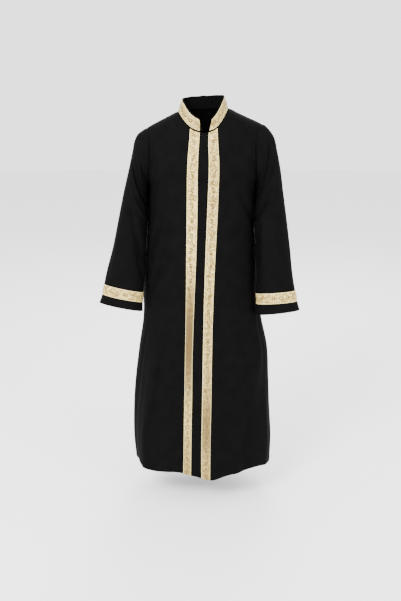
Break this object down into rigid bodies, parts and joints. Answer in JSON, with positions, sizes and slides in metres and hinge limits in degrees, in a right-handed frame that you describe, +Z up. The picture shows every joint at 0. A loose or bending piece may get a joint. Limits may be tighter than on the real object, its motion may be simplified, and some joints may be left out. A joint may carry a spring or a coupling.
{
  "type": "imam robe",
  "caption": "Ankle-length black open-front robe with a stand collar and long sleeves, worn and hanging hollow, with gold brocade bands on collar, fronts and cuffs",
  "frame": {"origin": "on the middle line of the body at the height of the wearer's right side neck point, where the shoulders hold the robe", "axes": "+Z up along the robe's length, -Y the front, +X the wearer's left"},
  "size_m": [0.697, 0.3072, 1.3499],
  "materials": {
    "black_cloth": "matt black twill of polyester and wool",
    "gold_brocade": "cream-gold woven brocade ribbon with a leaf scroll"
  },
  "bodies": {
    "root": {"front_right": "black_cloth", "front_left": "black_cloth", "back": "black_cloth", "sleeve_right": "black_cloth", "sleeve_left": "black_cloth", "collar": "black_cloth", "collar_tab": "black_cloth", "placket": "black_cloth", "band_front_right": "gold_brocade", "band_front_left": "gold_brocade", "band_collar": "gold_brocade", "band_cuff_right": "gold_brocade", "band_cuff_left": "gold_brocade"}
  },
  "joints": []
}
